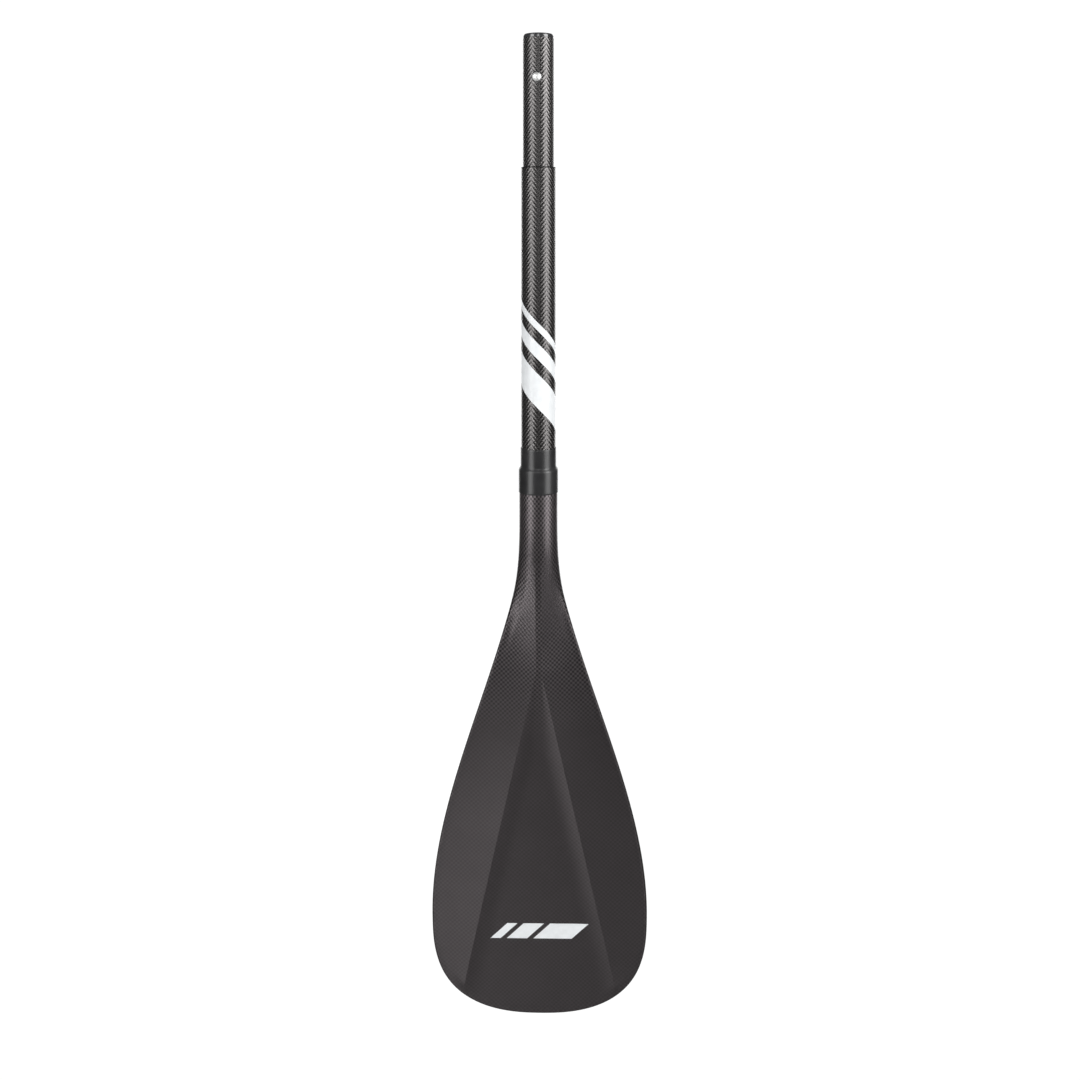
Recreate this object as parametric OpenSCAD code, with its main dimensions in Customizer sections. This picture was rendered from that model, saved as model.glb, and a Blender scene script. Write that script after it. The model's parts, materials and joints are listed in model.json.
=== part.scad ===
// Blade section of a take-apart carbon stand-up paddle.
// Frame: the shaft axis is Z and +Z points at the plug-in spigot. The origin is on that axis, level
// with the shoulder where the next shaft section stops. The ridged blade face looks along -Y.

/* [Shaft] */
// Outside diameter of the main shaft
shaft_od = 29; // [27.5:0.5:31]
// Wall of the main shaft
shaft_wall = 1.25; // [1:0.05:1.4]
// Length of main shaft from the shoulder to its end inside the neck
shaft_len = 306; // [298:1:306]
// Chamfer on the shoulder's outer edge
shoulder_chamfer = 0.3; // [0.1:0.1:0.5]

/* [Spigot] */
// Play all round between the spigot's guiding lands and the next section's bore
spigot_slack = 0.1; // [0.05:0.05:0.3]
// Wall of the spigot
spigot_wall = 1.3; // [1:0.1:1.6]
// Length of spigot that stands above the shoulder, end cap included
spigot_len = 112; // [104:1:130]
// Depth the spigot is bonded into the shaft
spigot_root = 60; // [30:5:80]
// Radius taken off the spigot where the adhesive sits
bond_relief = 0.25; // [0.2:0.05:0.4]
// Height of the undercut where the spigot leaves the shoulder
undercut = 0.2; // [0.1:0.05:0.5]
// Radius taken off the band around the button hole, so its rim never scratches the outer tube
hole_band_relief = 0.2; // [0.18:0.01:0.3]
// Length of the relieved band around the button hole
hole_band = 26; // [16:1:34]
// Visible height of the end cap
cap_h = 3.6; // [3:0.1:6]
// How far the end cap's rounded rim reaches in from its side
cap_round_in = 1; // [0.5:0.1:4]
// Height of the end cap's rounded rim
cap_round_h = 2.2; // [1:0.1:2.8]
// Depth the end cap reaches into the spigot
cap_skirt = 11; // [6:1:14]

/* [Lock button] */
// Height of the button's centre above the shoulder
button_z = 74.8; // [60:0.2:76]
// Turn of the button from the middle of the ridged face, towards that face's left
button_clock = 5; // [-10:0.5:10]
// Diameter of the button's head
button_d = 7.8; // [6:0.1:8.2]
// Diameter of the hole in the spigot
button_hole_d = 8.9; // [8.6:0.1:9.4]
// Height the button stands proud of the spigot
button_proud = 4; // [2.5:0.1:4.5]
// Height of the button's domed end
button_dome = 2; // [1:0.1:2.2]
// Width of the spring strip
spring_w = 9; // [7:0.5:9]
// Thickness of the spring strip
spring_t = 0.8; // [0.5:0.1:0.9]
// Lean of each spring leg from the shaft axis
spring_lean = 13; // [12:0.5:16]
// Inside radius of the spring's bend
spring_bend_r = 2.6; // [2:0.1:3]

/* [Neck and collar] */
// Gap all round between the shaft and the neck, for the adhesive
neck_gap = 0.2; // [0.15:0.05:0.5]
// Depth below the shoulder where the neck begins, under the collar
neck_top = 256; // [254:1:258]
// Depth below the shoulder where the neck starts to bend
bend_top = 300; // [298:1:306]
// Length over which the neck bends
bend_len = 80; // [60:5:120]
// Angle of the blade to the shaft
blade_cant = 9; // [2:0.5:14]
// Depth below the shoulder of the collar sleeve's top edge
collar_top = 236.5; // [230:0.5:240]
// Depth below the shoulder of the collar sleeve's bottom edge
collar_bottom = 274; // [266:0.5:290]
// Wall of the shrunk collar sleeve
collar_wall = 0.45; // [0.3:0.05:0.8]
// Length of the collar sleeve's step over the neck's rim
collar_step = 4.1; // [2:0.1:8]

/* [Blade outline] */
// Length of the blade from the bend to its tip
blade_len = 463; // [420:1:500]
// Greatest width of the blade
blade_w = 190.4; // [160:1:210]
// Distance below the bend of the widest point
widest_s = 366.5; // [340:0.5:380]
// Distance below the bend where the flare ends
flare_s = 67; // [55:1:80]
// Half width where the flare ends
flare_w = 22.5; // [20:0.5:25]
// Half width gained per unit of length where the flare ends
flare_gain = 0.251; // [0.2:0.001:0.3]
// Squareness of the tip along the blade
tip_square_long = 2.83; // [2:0.01:3.5]
// Squareness of the tip across the blade
tip_square_wide = 2.43; // [2:0.01:3]

/* [Blade faces] */
// Distance below the bend where the spine splits into two ridges
split_s = 129; // [120:1:150]
// Half width of the spine's crest
crest_w = 2.2; // [1.5:0.1:4]
// Spread of each ridge per unit of length
ridge_gain = 0.215; // [0.15:0.001:0.24]
// Height of the ridges above the edge plane at the split
front_h = 9.5; // [8:0.5:12]
// Height of the back rib at the split
back_h = 7.5; // [6:0.5:10]
// Height of the ridges at the tip
tip_h = 3; // [2.6:0.1:4]
// Fall of the ridges and the rib per unit of length at the split
split_fall = 0.036; // [0.02:0.001:0.05]
// Fall of the ridges and the rib per unit of length at the tip
tip_fall = 0.01; // [0:0.001:0.02]
// Width of the lip inside each ridge, where the floor of the scoop turns up
lip_w = 16; // [14:1:24]
// Slope of the lip at the ridge
lip_rise = 0.165; // [0.04:0.005:0.17]
// Hollowness of the flanks outside the ridges
flank_hollow = 1.5; // [1:0.05:1.6]
// Half thickness of the rounded edge
edge_h = 1.9; // [1.6:0.1:2.4]
// Width of the band along the edge in which both faces thin to the edge
edge_run = 10; // [6:1:16]
// Wall of the moulded skins
skin_wall = 1.4; // [1:0.1:1.4]
// Width of solid laminate along the edge
edge_rail = 5; // [3:0.5:8]

/* [Decals] */
// Depth below the shoulder of the first stripe's top edge at the front
stripe_top = 130.3; // [110:0.1:140]
// Height of the narrow stripe along the shaft
narrow_h = 7; // [3:0.5:10]
// Height of the middle stripe along the shaft
middle_h = 13.5; // [8:0.5:18]
// Height of the wide stripe along the shaft
wide_h = 28.8; // [20:0.1:30]
// Gap between the narrow and the middle stripe
upper_gap = 10.4; // [4:0.1:12]
// Gap between the middle and the wide stripe
lower_gap = 11.9; // [4:0.1:13]
// Angle of the stripes round the shaft
stripe_angle = 45; // [30:1:46]
// How far the stripes reach round the shaft to each side of the front
stripe_reach = 130; // [60:5:130]
// Thickness of the decals
decal_t = 0.1; // [0.05:0.05:0.2]
// Width of the first slanted bar on the blade
bar_small_w = 9; // [4:0.5:14]
// Width of the second slanted bar
bar_middle_w = 18; // [10:0.5:24]
// Width of the third slanted bar
bar_large_w = 34; // [20:0.5:44]
// Gap between the bars
bar_gap = 5.5; // [3:0.5:10]
// Height of the bars
bar_h = 15; // [8:0.5:20]
// Distance below the bend of the bars' middle
bar_s = 379; // [340:1:400]

/* [Hidden] */
$fn = 96;
// small gap that keeps touching pieces apart, and how far a cutter passes what it cuts
CLEAR = 0.02;
OVER = 1;

shaft_r = shaft_od / 2;
shaft_bore_r = shaft_r - shaft_wall;

spigot_r = shaft_bore_r - spigot_slack;
spigot_bore_r = spigot_r - spigot_wall;
root_r = spigot_r - bond_relief;
spigot_wall_top = spigot_len - cap_h;
bond_inset = 2;
cap_skirt_wall = 1.4;
plug_top = spigot_root + 10;
plug_len = 25;

neck_bore_r = shaft_r + neck_gap;
neck_r = neck_bore_r + skin_wall;
// room for the flats of the neck's faceted bore
neck_facet_room = 0.08;
neck_bond_top = neck_top + 2;
neck_bond_end = shaft_len - 10;

// the rivet and the plain stem under the button's head
rivet_r = 2;
rivet_head_r = 3.2;
rivet_head_h = 0.7;
rivet_slack = 0.05;
stem_r = button_d / 2 - 0.3;
head_under = 0.05;

// each spring leg lies flat against the bore for a stretch centred on the button
spring_play = 0.06;
leg_flat = 18;
leg_out = sqrt(pow(spigot_bore_r - spring_play, 2) - pow(spring_w / 2, 2));
leg_mid = leg_out - spring_t / 2;
leg_foot_z = button_z - leg_flat / 2;
leg_top_z = button_z + leg_flat / 2;
spring_mid_r = spring_bend_r + spring_t / 2;
lean_len = (leg_mid - spring_mid_r * cos(spring_lean)) / sin(spring_lean);
spring_bend_z = leg_foot_z - lean_len * cos(spring_lean) + spring_mid_r * sin(spring_lean);

bend_r = bend_len * 180 / PI / blade_cant;
// the section is fully round down to round_end, and fully blade-shaped from blade_start
round_end = 15;
blade_start = split_s - 10;
// the skins stop short of meeting at the seam, and are never thinner than this above it
seam = CLEAR;
thin = 0.05;
// the foam starts below the end of the shaft, and its first rows follow the neck's bore
core_top = 12;
core_round_end = 18;
// room between the foam and each skin, and the foam's half thickness at its outline
core_gap = 0.3;
core_edge = 0.06;
// half width of the flat the outline ends in, at the tip
tip_flat = 12;

CARBON = [0.17, 0.165, 0.165];
WHITE = [0.94, 0.96, 0.98];
BLACK = [0.07, 0.07, 0.075];
STEEL = [0.78, 0.79, 0.8];
FOAM = [0.86, 0.83, 0.74];
RESIN = [0.55, 0.5, 0.36];

// ---- curves shared by the blade pieces ----
// s runs down the middle line of the neck and blade from the start of the bend,
// u runs across the blade, and h stands off the edge plane towards the face.

function clamp01(t) = max(0, min(1, t));
function ease(t) = pow(clamp01(t), 2) * (3 - 2 * clamp01(t));

// cubic through a and b with the two slopes, over a span
function cubic(t, a, slope_a, b, slope_b, span) =
    (2 * pow(t, 3) - 3 * t * t + 1) * a
    + (pow(t, 3) - 2 * t * t + t) * slope_a * span
    + (3 * t * t - 2 * pow(t, 3)) * b
    + (pow(t, 3) - t * t) * slope_b * span;

// half width of the outline
function half_width(s) =
    s <= 0 ? neck_r
    : s < flare_s ? cubic(s / flare_s, neck_r, 0, flare_w, flare_gain, flare_s)
    : s < widest_s
        ? cubic((s - flare_s) / (widest_s - flare_s), flare_w, flare_gain, blade_w / 2, 0,
                widest_s - flare_s)
    : blade_w / 2 * pow(1 - pow(clamp01((s - widest_s) / (blade_len - widest_s)), tip_square_long),
                        1 / tip_square_wide);

// where the outline ends for a line at distance u from the middle
function outline_end(u) =
    widest_s + (blade_len - widest_s)
    * pow(1 - pow(min(1, 2 * abs(u) / blade_w), tip_square_wide), 1 / tip_square_long);

// 1 in the round neck, 0 in the blade
function roundness(s) = 1 - ease((s - round_end) / (blade_start - round_end));

// height of the front spine and ridges, and of the back rib
function crest_height(s, at_split) =
    s <= 0 ? neck_r
    : s < split_s ? cubic(s / split_s, neck_r, 0, at_split, -split_fall, split_s)
    : cubic((s - split_s) / (blade_len - split_s), at_split, -split_fall, tip_h, -tip_fall,
            blade_len - split_s);

// distance of each ridge from the middle line
function ridge_at(s) = crest_w + max(0, s - split_s) * ridge_gain;

// dip of the scoop between ridges that stand at distance c from the middle line
function scoop(u, c) =
    let (w = min(lip_w, c - crest_w),
         t = clamp01((c - abs(u)) / max(0.01, w)))
    lip_rise * w / 2 * (1 - pow(1 - t, 2));

// height of the ridged face: a scoop between the ridges, hollow flanks outside them
function front_blade(u, s) =
    let (c = ridge_at(s), w = half_width(s), top = crest_height(s, front_h))
    abs(u) < c ? top - scoop(u, c)
    : edge_h + (top - edge_h) * pow(1 - clamp01((abs(u) - c) / max(1, w - c)), flank_hollow);

// height of the plain face: one low rounded rib
function back_blade(u, s) =
    edge_h
    + (crest_height(s, back_h) - edge_h) * pow(cos(90 * clamp01(abs(u) / half_width(s))), 2);

// distance to the outline
function edge_gap(u, s) =
    let (across = max(0, half_width(s) - abs(u)),
         along = max(0, outline_end(u) - s))
    across * along / max(0.001, norm([across, along]));

// height of a face before its rim is rounded
function face_height(u, s, front) =
    let (k = roundness(s),
         top = crest_height(s, front ? front_h : back_h),
         oval = top * sqrt(max(0, 1 - pow(u / half_width(s), 2))),
         blade = front ? front_blade(u, s) : back_blade(u, s))
    k * oval + (1 - k) * (edge_h + (blade - edge_h) * ease(edge_gap(u, s) / edge_run));

// rounding of the blade's rim
function rim(u, s) =
    let (t = clamp01(edge_gap(u, s) / edge_h))
    roundness(s) + (1 - roundness(s)) * sqrt(1 - pow(1 - t, 2));

// lateral stations: they close up towards the ridge line, and again towards the edge
IN_STEPS = 6;
OUT_STEPS = 8;
COLUMNS = IN_STEPS + OUT_STEPS;
function ridge_line(s, w) =
    min(0.9 * w,
        s < split_s ? crest_w + (w / 2 - crest_w) * (1 - ease(s / split_s)) : ridge_at(s));
function station(j, s, w) =
    let (n = abs(j),
         ridge = ridge_line(s, w),
         share = 2 * sin(30 + 60 * (n - IN_STEPS) / OUT_STEPS) - 1)
    sign(j) * (n <= IN_STEPS ? ridge * sin(90 * n / IN_STEPS) : ridge + (w - ridge) * share);

// rows down the blade, closing up towards the tip
FLARE_ROWS = 11;
BODY_ROWS = 11;
TIP_ROWS = 9;
tip_end = pow(1 - pow(2 * tip_flat / blade_w, tip_square_wide), 1 / tip_square_long);
function tip_row(t) = widest_s + (blade_len - widest_s) * tip_end * sin(90 * pow(t, 0.9));
BLADE_ROWS = concat(
    [for (i = [1 : FLARE_ROWS]) split_s * i / FLARE_ROWS],
    [for (i = [1 : BODY_ROWS]) split_s + (widest_s - split_s) * i / BODY_ROWS],
    [for (i = [1 : TIP_ROWS]) tip_row(i / TIP_ROWS)]);
LAST_ROW = BLADE_ROWS[len(BLADE_ROWS) - 1];
SKIN_ROWS = concat([neck_top - bend_top, 0], BLADE_ROWS);
CORE_ROWS = concat([core_top], [for (s = BLADE_ROWS) if (s > core_round_end) s]);

// a point on the canted blade, in the paddle's frame
function place(u, s, h) =
    let (a = blade_cant * clamp01(s / bend_len),
         past = max(0, s - bend_len),
         y = s <= 0 ? 0 : bend_r * (1 - cos(a)) + past * sin(a),
         z = s <= 0 ? -s : -bend_r * sin(a) - past * cos(a))
    [u, y - h * cos(a), z - bend_top - h * sin(a)];

// outer face of a skin; side is 1 for the front and -1 for the back
function outer_row(s, side) =
    [for (j = [-COLUMNS : COLUMNS])
        let (u = station(j, s, half_width(s)),
             edge = abs(j) == COLUMNS || s == LAST_ROW,
             h = edge ? seam : max(seam + thin, rim(u, s) * face_height(u, s, side > 0)))
        place(u, s, side * h)];

// inner face of a skin, or with a gap the face of the foam inside it
function inner_row(s, side, gap, seam_h) =
    let (rail = skin_wall + (edge_rail - skin_wall) * ease(s / split_s),
         si = s - max(0, s) / blade_len * (edge_rail + gap),
         w = half_width(si) - rail - gap)
    [for (j = [-COLUMNS : COLUMNS])
        let (u = station(j, si, w),
             edge = abs(j) == COLUMNS || s == LAST_ROW,
             round_in = neck_bore_r * sqrt(max(0, 1 - pow(u / w, 2))),
             blade_in = face_height(u, si, side > 0) - skin_wall,
             h = s <= 0 ? round_in : s <= core_round_end ? min(blade_in, round_in) : blade_in)
        place(u, si, side * (edge ? seam_h : max(seam_h + thin, h - gap)))];

// closed solid between two sheets of points that have the same rows and columns; the first sheet
// is the one further towards -Y
module sheet_solid(upper, lower) {
    rows = len(upper);
    cols = len(upper[0]);
    count = rows * cols;
    points = concat([for (row = upper) each row], [for (row = lower) each row]);
    faces = concat(
        [for (i = [0 : rows - 2], j = [0 : cols - 2])
            each let (a = i * cols + j) [[a, a + 1, a + cols + 1], [a, a + cols + 1, a + cols]]],
        [for (i = [0 : rows - 2], j = [0 : cols - 2])
            each let (a = count + i * cols + j) [[a, a + cols + 1, a + 1], [a, a + cols, a + cols + 1]]],
        [for (j = [0 : cols - 2])
            each let (b = j + count) [[j, b + 1, j + 1], [j, b, b + 1]]],
        [for (j = [0 : cols - 2])
            each let (a = (rows - 1) * cols + j, b = a + count) [[a, a + 1, b + 1], [a, b + 1, b]]],
        [for (i = [0 : rows - 2])
            each let (a = i * cols, b = a + count) [[a, a + cols, b + cols], [a, b + cols, b]]],
        [for (i = [0 : rows - 2])
            each let (a = i * cols + cols - 1, b = a + count) [[a, b + cols, a + cols], [a, b, b + cols]]]);
    polyhedron(points, faces);
}

// ---- blade pieces ----

// moulded skin with the spine and the two ridges
module blade_front_skin() {
    color(CARBON)
        sheet_solid([for (s = SKIN_ROWS) outer_row(s, 1)],
                    [for (s = SKIN_ROWS) inner_row(s, 1, 0, seam)]);
}

// moulded skin with the low rounded rib
module blade_back_skin() {
    color(CARBON)
        sheet_solid([for (s = SKIN_ROWS) inner_row(s, -1, 0, seam)],
                    [for (s = SKIN_ROWS) outer_row(s, -1)]);
}

// foam that fills the blade below the end of the shaft
module blade_foam_core() {
    color(FOAM)
        sheet_solid([for (s = CORE_ROWS) inner_row(s, 1, core_gap, core_edge)],
                    [for (s = CORE_ROWS) inner_row(s, -1, core_gap, core_edge)]);
}

// ---- shaft pieces ----

module ring(outer, inner, bottom, top) {
    translate([0, 0, bottom])
        difference() {
            cylinder(r = outer, h = top - bottom);
            translate([0, 0, -OVER])
                cylinder(r = inner, h = top - bottom + 2 * OVER);
        }
}

// straight carbon tube from the shoulder down into the neck
module shaft_tube() {
    color(CARBON)
        rotate_extrude()
            polygon([[shaft_bore_r, -shaft_len], [shaft_r, -shaft_len], [shaft_r, -shoulder_chamfer],
                     [shaft_r - shoulder_chamfer, 0], [shaft_bore_r, 0]]);
}

// thinner tube that plugs into the next shaft section
module spigot_tube() {
    low = button_z - hole_band / 2;
    high = button_z + hole_band / 2;
    band_r = spigot_r - hole_band_relief;
    color(CARBON)
        difference() {
            rotate_extrude()
                polygon([[spigot_bore_r, -spigot_root], [root_r, -spigot_root], [root_r, undercut],
                         [spigot_r, undercut], [spigot_r, low], [band_r, low], [band_r, high],
                         [spigot_r, high], [spigot_r, spigot_wall_top],
                         [spigot_bore_r, spigot_wall_top]]);
            rotate([0, 0, -button_clock])
                translate([0, 0, button_z])
                    rotate([90, 0, 0])
                        cylinder(d = button_hole_d, h = spigot_r + OVER);
        }
}

// adhesive between the spigot's root and the shaft
module spigot_bond() {
    color(RESIN)
        ring(shaft_bore_r - CLEAR, root_r + CLEAR, bond_inset - spigot_root, -bond_inset);
}

// rounded plastic cap with a hollow skirt
module spigot_end_cap() {
    skirt_r = spigot_bore_r - CLEAR;
    seat = spigot_wall_top + CLEAR;
    arc = [for (a = [0 : 10 : 90])
              [spigot_r - cap_round_in * (1 - cos(a)), spigot_len - cap_round_h * (1 - sin(a))]];
    color(BLACK)
        rotate_extrude()
            polygon(concat([[0, seat], [skirt_r - cap_skirt_wall, seat],
                            [skirt_r - cap_skirt_wall, seat - cap_skirt], [skirt_r, seat - cap_skirt],
                            [skirt_r, seat], [spigot_r, seat]],
                           arc, [[0, spigot_len]]));
}

// ---- lock button and its spring ----

// the button is drawn on the Y axis and turned to its place
module at_button() {
    rotate([0, 0, -button_clock])
        children();
}

// domed steel button with a stem, riveted through the spring
module lock_button() {
    head_r = button_d / 2;
    out = spigot_r + button_proud;
    head_from = spigot_r + head_under;
    dome_r = (head_r * head_r + button_dome * button_dome) / (2 * button_dome);
    dome_a = asin(head_r / dome_r);
    dome = [for (i = [0 : 8])
               let (a = dome_a * (1 - i / 8)) [dome_r * sin(a), out - dome_r + dome_r * cos(a)]];
    rivet_seat = leg_out - spring_t - CLEAR;
    color(STEEL)
        at_button()
            translate([0, 0, button_z])
                rotate([90, 0, 0])
                    rotate_extrude()
                        polygon(concat(
                            [[0, rivet_seat - rivet_head_h], [rivet_head_r, rivet_seat - rivet_head_h],
                             [rivet_head_r, rivet_seat], [rivet_r, rivet_seat],
                             [rivet_r, leg_out + CLEAR], [stem_r, leg_out + CLEAR],
                             [stem_r, head_from], [head_r, head_from]],
                            dome));
}

// middle line of one spring leg and half the bend, from the leg's top to the bottom of the bend
LEG = concat(
    [[-leg_mid, leg_top_z], [-leg_mid, leg_foot_z]],
    [for (i = [0 : 6])
        let (a = 180 + spring_lean + (90 - spring_lean) * i / 6)
        [spring_mid_r * cos(a), spring_bend_z + spring_mid_r * sin(a)]]);

// unit normal of a path at point i, shared between the two sides of a corner
function side_of(path, i) =
    let (n = len(path) - 1,
         a = path[max(0, i - 1)],
         m = path[i],
         b = path[min(n, i + 1)],
         d1 = i == 0 ? (b - m) / norm(b - m) : (m - a) / norm(m - a),
         d2 = i == n ? d1 : (b - m) / norm(b - m),
         v = [-(d1[1] + d2[1]), d1[0] + d2[0]])
    v / norm(v) / max(0.5, norm(d1 + d2) / 2);

// flat spring strip bent into a V, bearing on both sides of the spigot's bore
module v_spring() {
    path = concat(LEG, [for (i = [len(LEG) - 2 : -1 : 0]) [-LEG[i][0], LEG[i][1]]]);
    n = len(path) - 1;
    t = spring_t / 2;
    color(STEEL)
        at_button()
            difference() {
                rotate([90, 0, 90])
                    linear_extrude(height = spring_w, center = true)
                        polygon(concat([for (i = [0 : n]) path[i] + t * side_of(path, i)],
                                       [for (i = [n : -1 : 0]) path[i] - t * side_of(path, i)]));
                translate([0, -leg_mid + spring_t, button_z])
                    rotate([90, 0, 0])
                        cylinder(r = rivet_r + rivet_slack, h = 2 * spring_t);
            }
}

// closed-cell plug that keeps water out of the blade
module shaft_water_plug() {
    color(FOAM)
        translate([0, 0, -plug_top - plug_len])
            cylinder(r = shaft_bore_r - CLEAR, h = plug_len);
}

// ---- neck joint ----

// shrunk plastic sleeve, stepped over the neck's rim
module collar_sleeve() {
    fit = 0.05;
    lip = 0.25;
    over_rim = 0.4;
    step_top = neck_top - over_rim - collar_step;
    small = shaft_r + fit;
    large = neck_r + fit;
    // the step is half a cosine wave
    step = [for (i = [0 : 8])
               [small + (large - small) * (1 - cos(180 * i / 8)) / 2,
                -(step_top + collar_step * i / 8)]];
    color(BLACK)
        rotate_extrude()
            polygon(concat([[small, -collar_top]], step, [[large, -collar_bottom]],
                           [[large + collar_wall - lip, -collar_bottom],
                            [large + collar_wall, -collar_bottom + lip]],
                           [for (i = [8 : -1 : 0]) step[i] + [collar_wall, 0]],
                           [[small + collar_wall, -collar_top - lip],
                            [small + collar_wall - lip, -collar_top]]));
}

// adhesive between the shaft's end and the neck
module neck_bond() {
    color(RESIN)
        ring(neck_bore_r - neck_facet_room, shaft_r + CLEAR, -neck_bond_end, -neck_bond_top);
}

// ---- decals ----

// helical band round most of the shaft, its top edge at the given depth in front
module stripe(top, height) {
    steps = 44;
    inner = shaft_r + 0.03;
    drop = PI * shaft_r / 180 * tan(stripe_angle);
    function edge(r, low) = [for (i = [0 : steps])
        let (a = stripe_reach * (2 * i / steps - 1))
        [r * sin(a), -r * cos(a), -top - low - drop * a]];
    color(WHITE)
        sheet_solid([edge(inner + decal_t, 0), edge(inner + decal_t, height)],
                    [edge(inner, 0), edge(inner, height)]);
}

module stripe_narrow() {
    stripe(stripe_top, narrow_h);
}

module stripe_middle() {
    stripe(stripe_top + narrow_h + upper_gap, middle_h);
}

module stripe_wide() {
    stripe(stripe_top + narrow_h + upper_gap + middle_h + lower_gap, wide_h);
}

// three slanted bars that lie on the scoop
module blade_graphic() {
    lift = 0.14;
    total = bar_small_w + bar_middle_w + bar_large_w + 2 * bar_gap;
    widths = [bar_small_w, bar_middle_w, bar_large_w];
    starts = [-total / 2, -total / 2 + bar_small_w + bar_gap, total / 2 - bar_large_w];
    slant = tan(stripe_angle) * bar_h / 2;
    function skin(start, width, off) = [for (r = [-1 : 1])
        [for (i = [0 : 6])
            let (u = start + width * i / 6 - slant * r, s = bar_s + r * bar_h / 2)
            place(u, s, face_height(u, s, true) + off)]];
    color(WHITE)
        for (k = [0 : 2])
            sheet_solid(skin(starts[k], widths[k], lift + decal_t), skin(starts[k], widths[k], lift));
}

blade_front_skin();
blade_back_skin();
blade_foam_core();
shaft_tube();
spigot_tube();
spigot_bond();
spigot_end_cap();
lock_button();
v_spring();
shaft_water_plug();
collar_sleeve();
neck_bond();
stripe_narrow();
stripe_middle();
stripe_wide();
blade_graphic();
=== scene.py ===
import json
import math

import bmesh
import bpy
import numpy as np
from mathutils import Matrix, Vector


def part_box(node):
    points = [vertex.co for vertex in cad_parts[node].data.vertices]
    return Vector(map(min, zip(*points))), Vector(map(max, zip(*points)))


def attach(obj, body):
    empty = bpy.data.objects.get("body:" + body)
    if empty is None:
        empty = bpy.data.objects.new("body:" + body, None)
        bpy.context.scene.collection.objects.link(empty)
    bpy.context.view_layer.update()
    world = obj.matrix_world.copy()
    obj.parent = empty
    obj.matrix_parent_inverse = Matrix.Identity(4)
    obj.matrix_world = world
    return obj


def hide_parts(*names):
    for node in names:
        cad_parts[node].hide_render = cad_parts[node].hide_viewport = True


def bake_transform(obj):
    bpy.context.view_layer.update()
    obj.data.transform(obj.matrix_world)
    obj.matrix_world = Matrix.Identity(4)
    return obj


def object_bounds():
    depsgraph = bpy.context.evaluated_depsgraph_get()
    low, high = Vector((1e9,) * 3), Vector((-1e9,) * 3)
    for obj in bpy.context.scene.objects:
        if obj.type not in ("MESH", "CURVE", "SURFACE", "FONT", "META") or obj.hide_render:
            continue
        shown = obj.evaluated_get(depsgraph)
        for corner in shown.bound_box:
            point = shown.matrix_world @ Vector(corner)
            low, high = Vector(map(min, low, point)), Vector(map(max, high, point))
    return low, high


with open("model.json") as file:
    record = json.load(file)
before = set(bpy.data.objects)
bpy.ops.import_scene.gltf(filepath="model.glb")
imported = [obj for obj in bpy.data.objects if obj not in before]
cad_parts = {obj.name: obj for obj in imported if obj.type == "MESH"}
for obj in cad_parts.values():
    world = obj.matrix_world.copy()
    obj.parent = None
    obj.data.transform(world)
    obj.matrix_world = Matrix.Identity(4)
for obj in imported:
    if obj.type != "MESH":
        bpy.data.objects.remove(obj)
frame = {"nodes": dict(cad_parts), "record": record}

# Looks for the blade section of a take-apart carbon stand-up paddle.
# All lengths are metres in the CAD frame: the shaft axis is Z, +Z points at the spigot,
# and the ridged blade face looks along -Y.

CAD_LOW, CAD_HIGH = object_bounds()
MM = 0.001
PADDLE = "paddle"
BUTTON = "button"


def mount(name):
    """The record's mount with this name."""
    return next(m for m in frame["record"]["mounts"] if m["name"] == name)


def node_box(node):
    """A CAD node's lowest and highest corners."""
    low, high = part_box(node)
    return np.array(low), np.array(high)


# ---- sizes read from the frame ----

SHAFT_R = node_box("shaft_tube")[1][0]
SHOULDER_Z = node_box("shaft_tube")[1][2]
SHAFT_END_Z = node_box("shaft_tube")[0][2]
SPIGOT_R = node_box("spigot_end_cap")[1][0]
SPIGOT_TOP_Z = node_box("spigot_end_cap")[1][2]
SPIGOT_WALL_TOP_Z = node_box("spigot_tube")[1][2]
SPIGOT_ROOT_Z = node_box("spigot_tube")[0][2]
BUTTON_AXIS = Vector(mount("lock_button_head")["axis"])
BUTTON_Z = mount("lock_button_head")["pos_m"][2]
BUTTON_R = mount("lock_button_head")["dims"]["r_mm"] * MM
COLLAR_LOW, COLLAR_HIGH = node_box("collar_sleeve")
CORE_TOP_Z = node_box("blade_foam_core")[1][2]
NECK_TOP_Z = node_box("blade_front_skin")[1][2]
HALF_WIDTH = node_box("blade_front_skin")[1][0]

# ---- the blade's curves, as in the CAD source ----

NECK_R = -node_box("blade_front_skin")[0][1]
CORE_DROP = 12 * MM
BEND_TOP_Z = CORE_TOP_Z + CORE_DROP
BEND_LEN = 80 * MM
CANT = math.radians(9)
BEND_R = BEND_LEN / CANT
BLADE_LEN = 463 * MM
WIDEST_S = 366.5 * MM
FLARE_S = 67 * MM
FLARE_W = 22.5 * MM
FLARE_GAIN = 0.251
TIP_LONG = 2.83
TIP_WIDE = 2.43
TIP_FLAT = 12 * MM
# the section is fully round down to ROUND_END, and fully blade-shaped from BLADE_START
ROUND_END = 15 * MM
SPLIT_S = 129 * MM
BLADE_START = SPLIT_S - 10 * MM
CREST_W = 2.2 * MM
RIDGE_GAIN = 0.215
FRONT_H = 9.5 * MM
BACK_H = 7.5 * MM
TIP_H = 3 * MM
SPLIT_SLOPE = -0.036
TIP_SLOPE = -0.010
LIP_W = 16 * MM
LIP_RISE = 0.165
FLANK_HOLLOW = 1.5
EDGE_H = 1.9 * MM
EDGE_RUN = 10 * MM
SKIN_WALL = 1.4 * MM
EDGE_RAIL = 5 * MM
SEAM = 0.02 * MM
# the skins' inner faces follow the neck's round bore down to here
BORE_END = 18 * MM

# ---- the printed bars on the blade ----

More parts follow.
